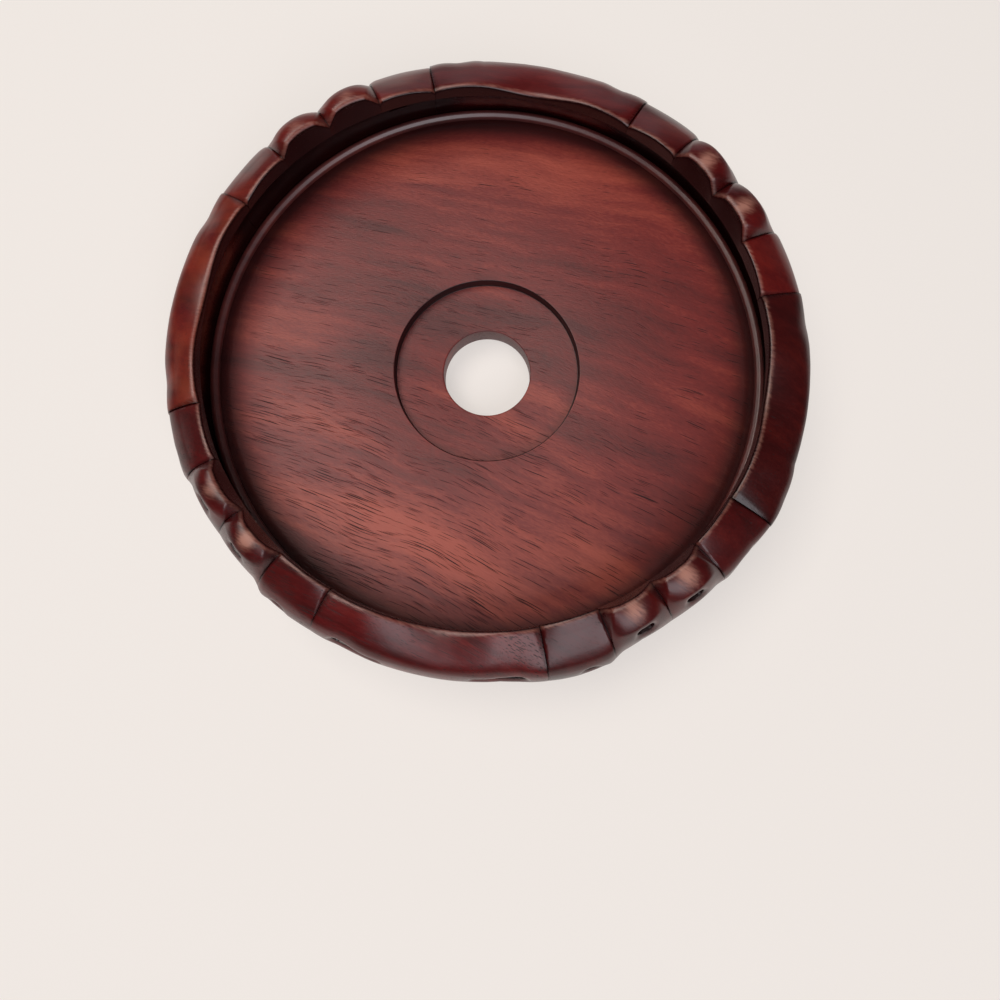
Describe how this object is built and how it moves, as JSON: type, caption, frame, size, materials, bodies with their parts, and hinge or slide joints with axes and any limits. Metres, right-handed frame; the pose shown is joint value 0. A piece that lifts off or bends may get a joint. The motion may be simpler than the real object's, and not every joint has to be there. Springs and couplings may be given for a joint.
{
  "type": "carved hardwood display stand",
  "caption": "Round dark hardwood display stand with a dished seat, a bored board, a pierced bulging apron and low double-toed feet, lying turned over with its feet up.",
  "frame": {"origin": "on the stand's axis at the face of the seat lip, which lies on the table as the stand is pictured", "axes": "+Z runs from the seat to the feet, so the stand is upside down as pictured; in use it is turned half a turn about X. The feet stand at 45 degrees to X and Y, and a rail faces along each of +X, +Y, -X and -Y"},
  "size_m": [0.1764, 0.1764, 0.0385],
  "materials": {
    "board_wood": "oiled, open pores, thin and worn",
    "rim_wood": "dark stained and polished",
    "apron_wood": "dark stained and waxed, worn bare on the toe tips",
    "tenon_wood": "bare, hidden in the joints",
    "peg_bamboo": "bare, hidden in the joints"
  },
  "bodies": {
    "root": {"seat_board": "board_wood", "seat_rim": "rim_wood", "foot_1": "apron_wood", "foot_2": "apron_wood", "foot_3": "apron_wood", "foot_4": "apron_wood", "apron_rail_1": "apron_wood", "apron_rail_2": "apron_wood", "apron_rail_3": "apron_wood", "apron_rail_4": "apron_wood", "tenon_1": "tenon_wood", "tenon_2": "tenon_wood", "tenon_3": "tenon_wood", "tenon_4": "tenon_wood", "tenon_5": "tenon_wood", "tenon_6": "tenon_wood", "tenon_7": "tenon_wood", "tenon_8": "tenon_wood", "peg_1": "peg_bamboo", "peg_2": "peg_bamboo", "peg_3": "peg_bamboo", "peg_4": "peg_bamboo", "peg_5": "peg_bamboo", "peg_6": "peg_bamboo", "peg_7": "peg_bamboo", "peg_8": "peg_bamboo"}
  },
  "joints": []
}
